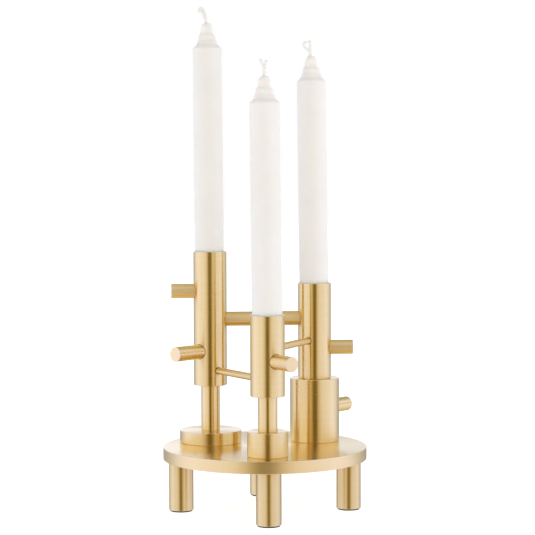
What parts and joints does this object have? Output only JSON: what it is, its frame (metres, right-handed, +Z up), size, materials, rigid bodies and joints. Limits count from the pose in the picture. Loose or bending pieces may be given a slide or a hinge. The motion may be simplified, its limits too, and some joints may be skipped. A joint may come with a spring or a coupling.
{
  "type": "tabletop candelabra",
  "caption": "Brass table candelabra: a round plate on short legs carries towers of different heights, tied by cross rods and set with stub pegs, each with a socket for a dinner candle.",
  "frame": {"origin": "on the axis of the round base plate, at the height of the table the feet stand on; this is within 1.7 mm of the bounding box's bottom centre, because only the front peg reaches past the plate's edge", "axes": "+Z up along the towers and candles; the legs stand on the X and Y axes; -Y is the front, where the shortest tower stands; +X is to the right seen from the front"},
  "size_m": [0.152, 0.1552, 0.377],
  "materials": {
    "satin_brass": "satin, fine turned and lengthwise brushed grain, small bright chamfers",
    "screw_steel": "zinc-plated steel fasteners, hidden in the assembly",
    "foot_rubber": "matt black glued foot disc",
    "candle_wax": "smooth white wax, slightly translucent, soft sheen",
    "cotton_wick": "unlit braided white cotton"
  },
  "bodies": {
    "stand": {"base_plate": "satin_brass", "leg_front": "satin_brass", "leg_stud_front": "screw_steel", "foot_pad_front": "foot_rubber", "leg_right": "satin_brass", "leg_stud_right": "screw_steel", "foot_pad_right": "foot_rubber", "leg_back": "satin_brass", "leg_stud_back": "screw_steel", "foot_pad_back": "foot_rubber", "leg_left": "satin_brass", "leg_stud_left": "screw_steel", "foot_pad_left": "foot_rubber", "left_pedestal": "satin_brass", "left_stem": "satin_brass", "left_tube": "satin_brass", "left_base_screw": "screw_steel", "left_tube_stud": "screw_steel", "centre_pedestal": "satin_brass", "centre_stem": "satin_brass", "centre_tube": "satin_brass", "centre_base_screw": "screw_steel", "centre_tube_stud": "screw_steel", "right_pedestal": "satin_brass", "right_tube": "satin_brass", "right_base_screw": "screw_steel", "right_tube_stud": "screw_steel", "left_upper_peg": "satin_brass", "left_upper_peg_stud": "screw_steel", "left_lower_peg": "satin_brass", "left_lower_peg_stud": "screw_steel", "centre_peg": "satin_brass", "centre_peg_stud": "screw_steel", "right_upper_peg": "satin_brass", "right_upper_peg_stud": "screw_steel", "right_lower_peg": "satin_brass", "right_lower_peg_stud": "screw_steel", "cross_rod": "satin_brass", "left_link_rod": "satin_brass", "right_link_rod": "satin_brass"},
    "left_taper": {"left_candle": "candle_wax", "left_wick": "cotton_wick"},
    "centre_taper": {"centre_candle": "candle_wax", "centre_wick": "cotton_wick"},
    "right_taper": {"right_candle": "candle_wax", "right_wick": "cotton_wick"}
  },
  "joints": [
    {"name": "left_candle_lift", "type": "slide", "parent": "stand", "child": "left_taper", "axis": [0, 0, 1], "range_m": [0, 0.03]},
    {"name": "centre_candle_lift", "type": "slide", "parent": "stand", "child": "centre_taper", "axis": [0, 0, 1], "range_m": [0, 0.03]},
    {"name": "right_candle_lift", "type": "slide", "parent": "stand", "child": "right_taper", "axis": [0, 0, 1], "range_m": [0, 0.03]}
  ]
}
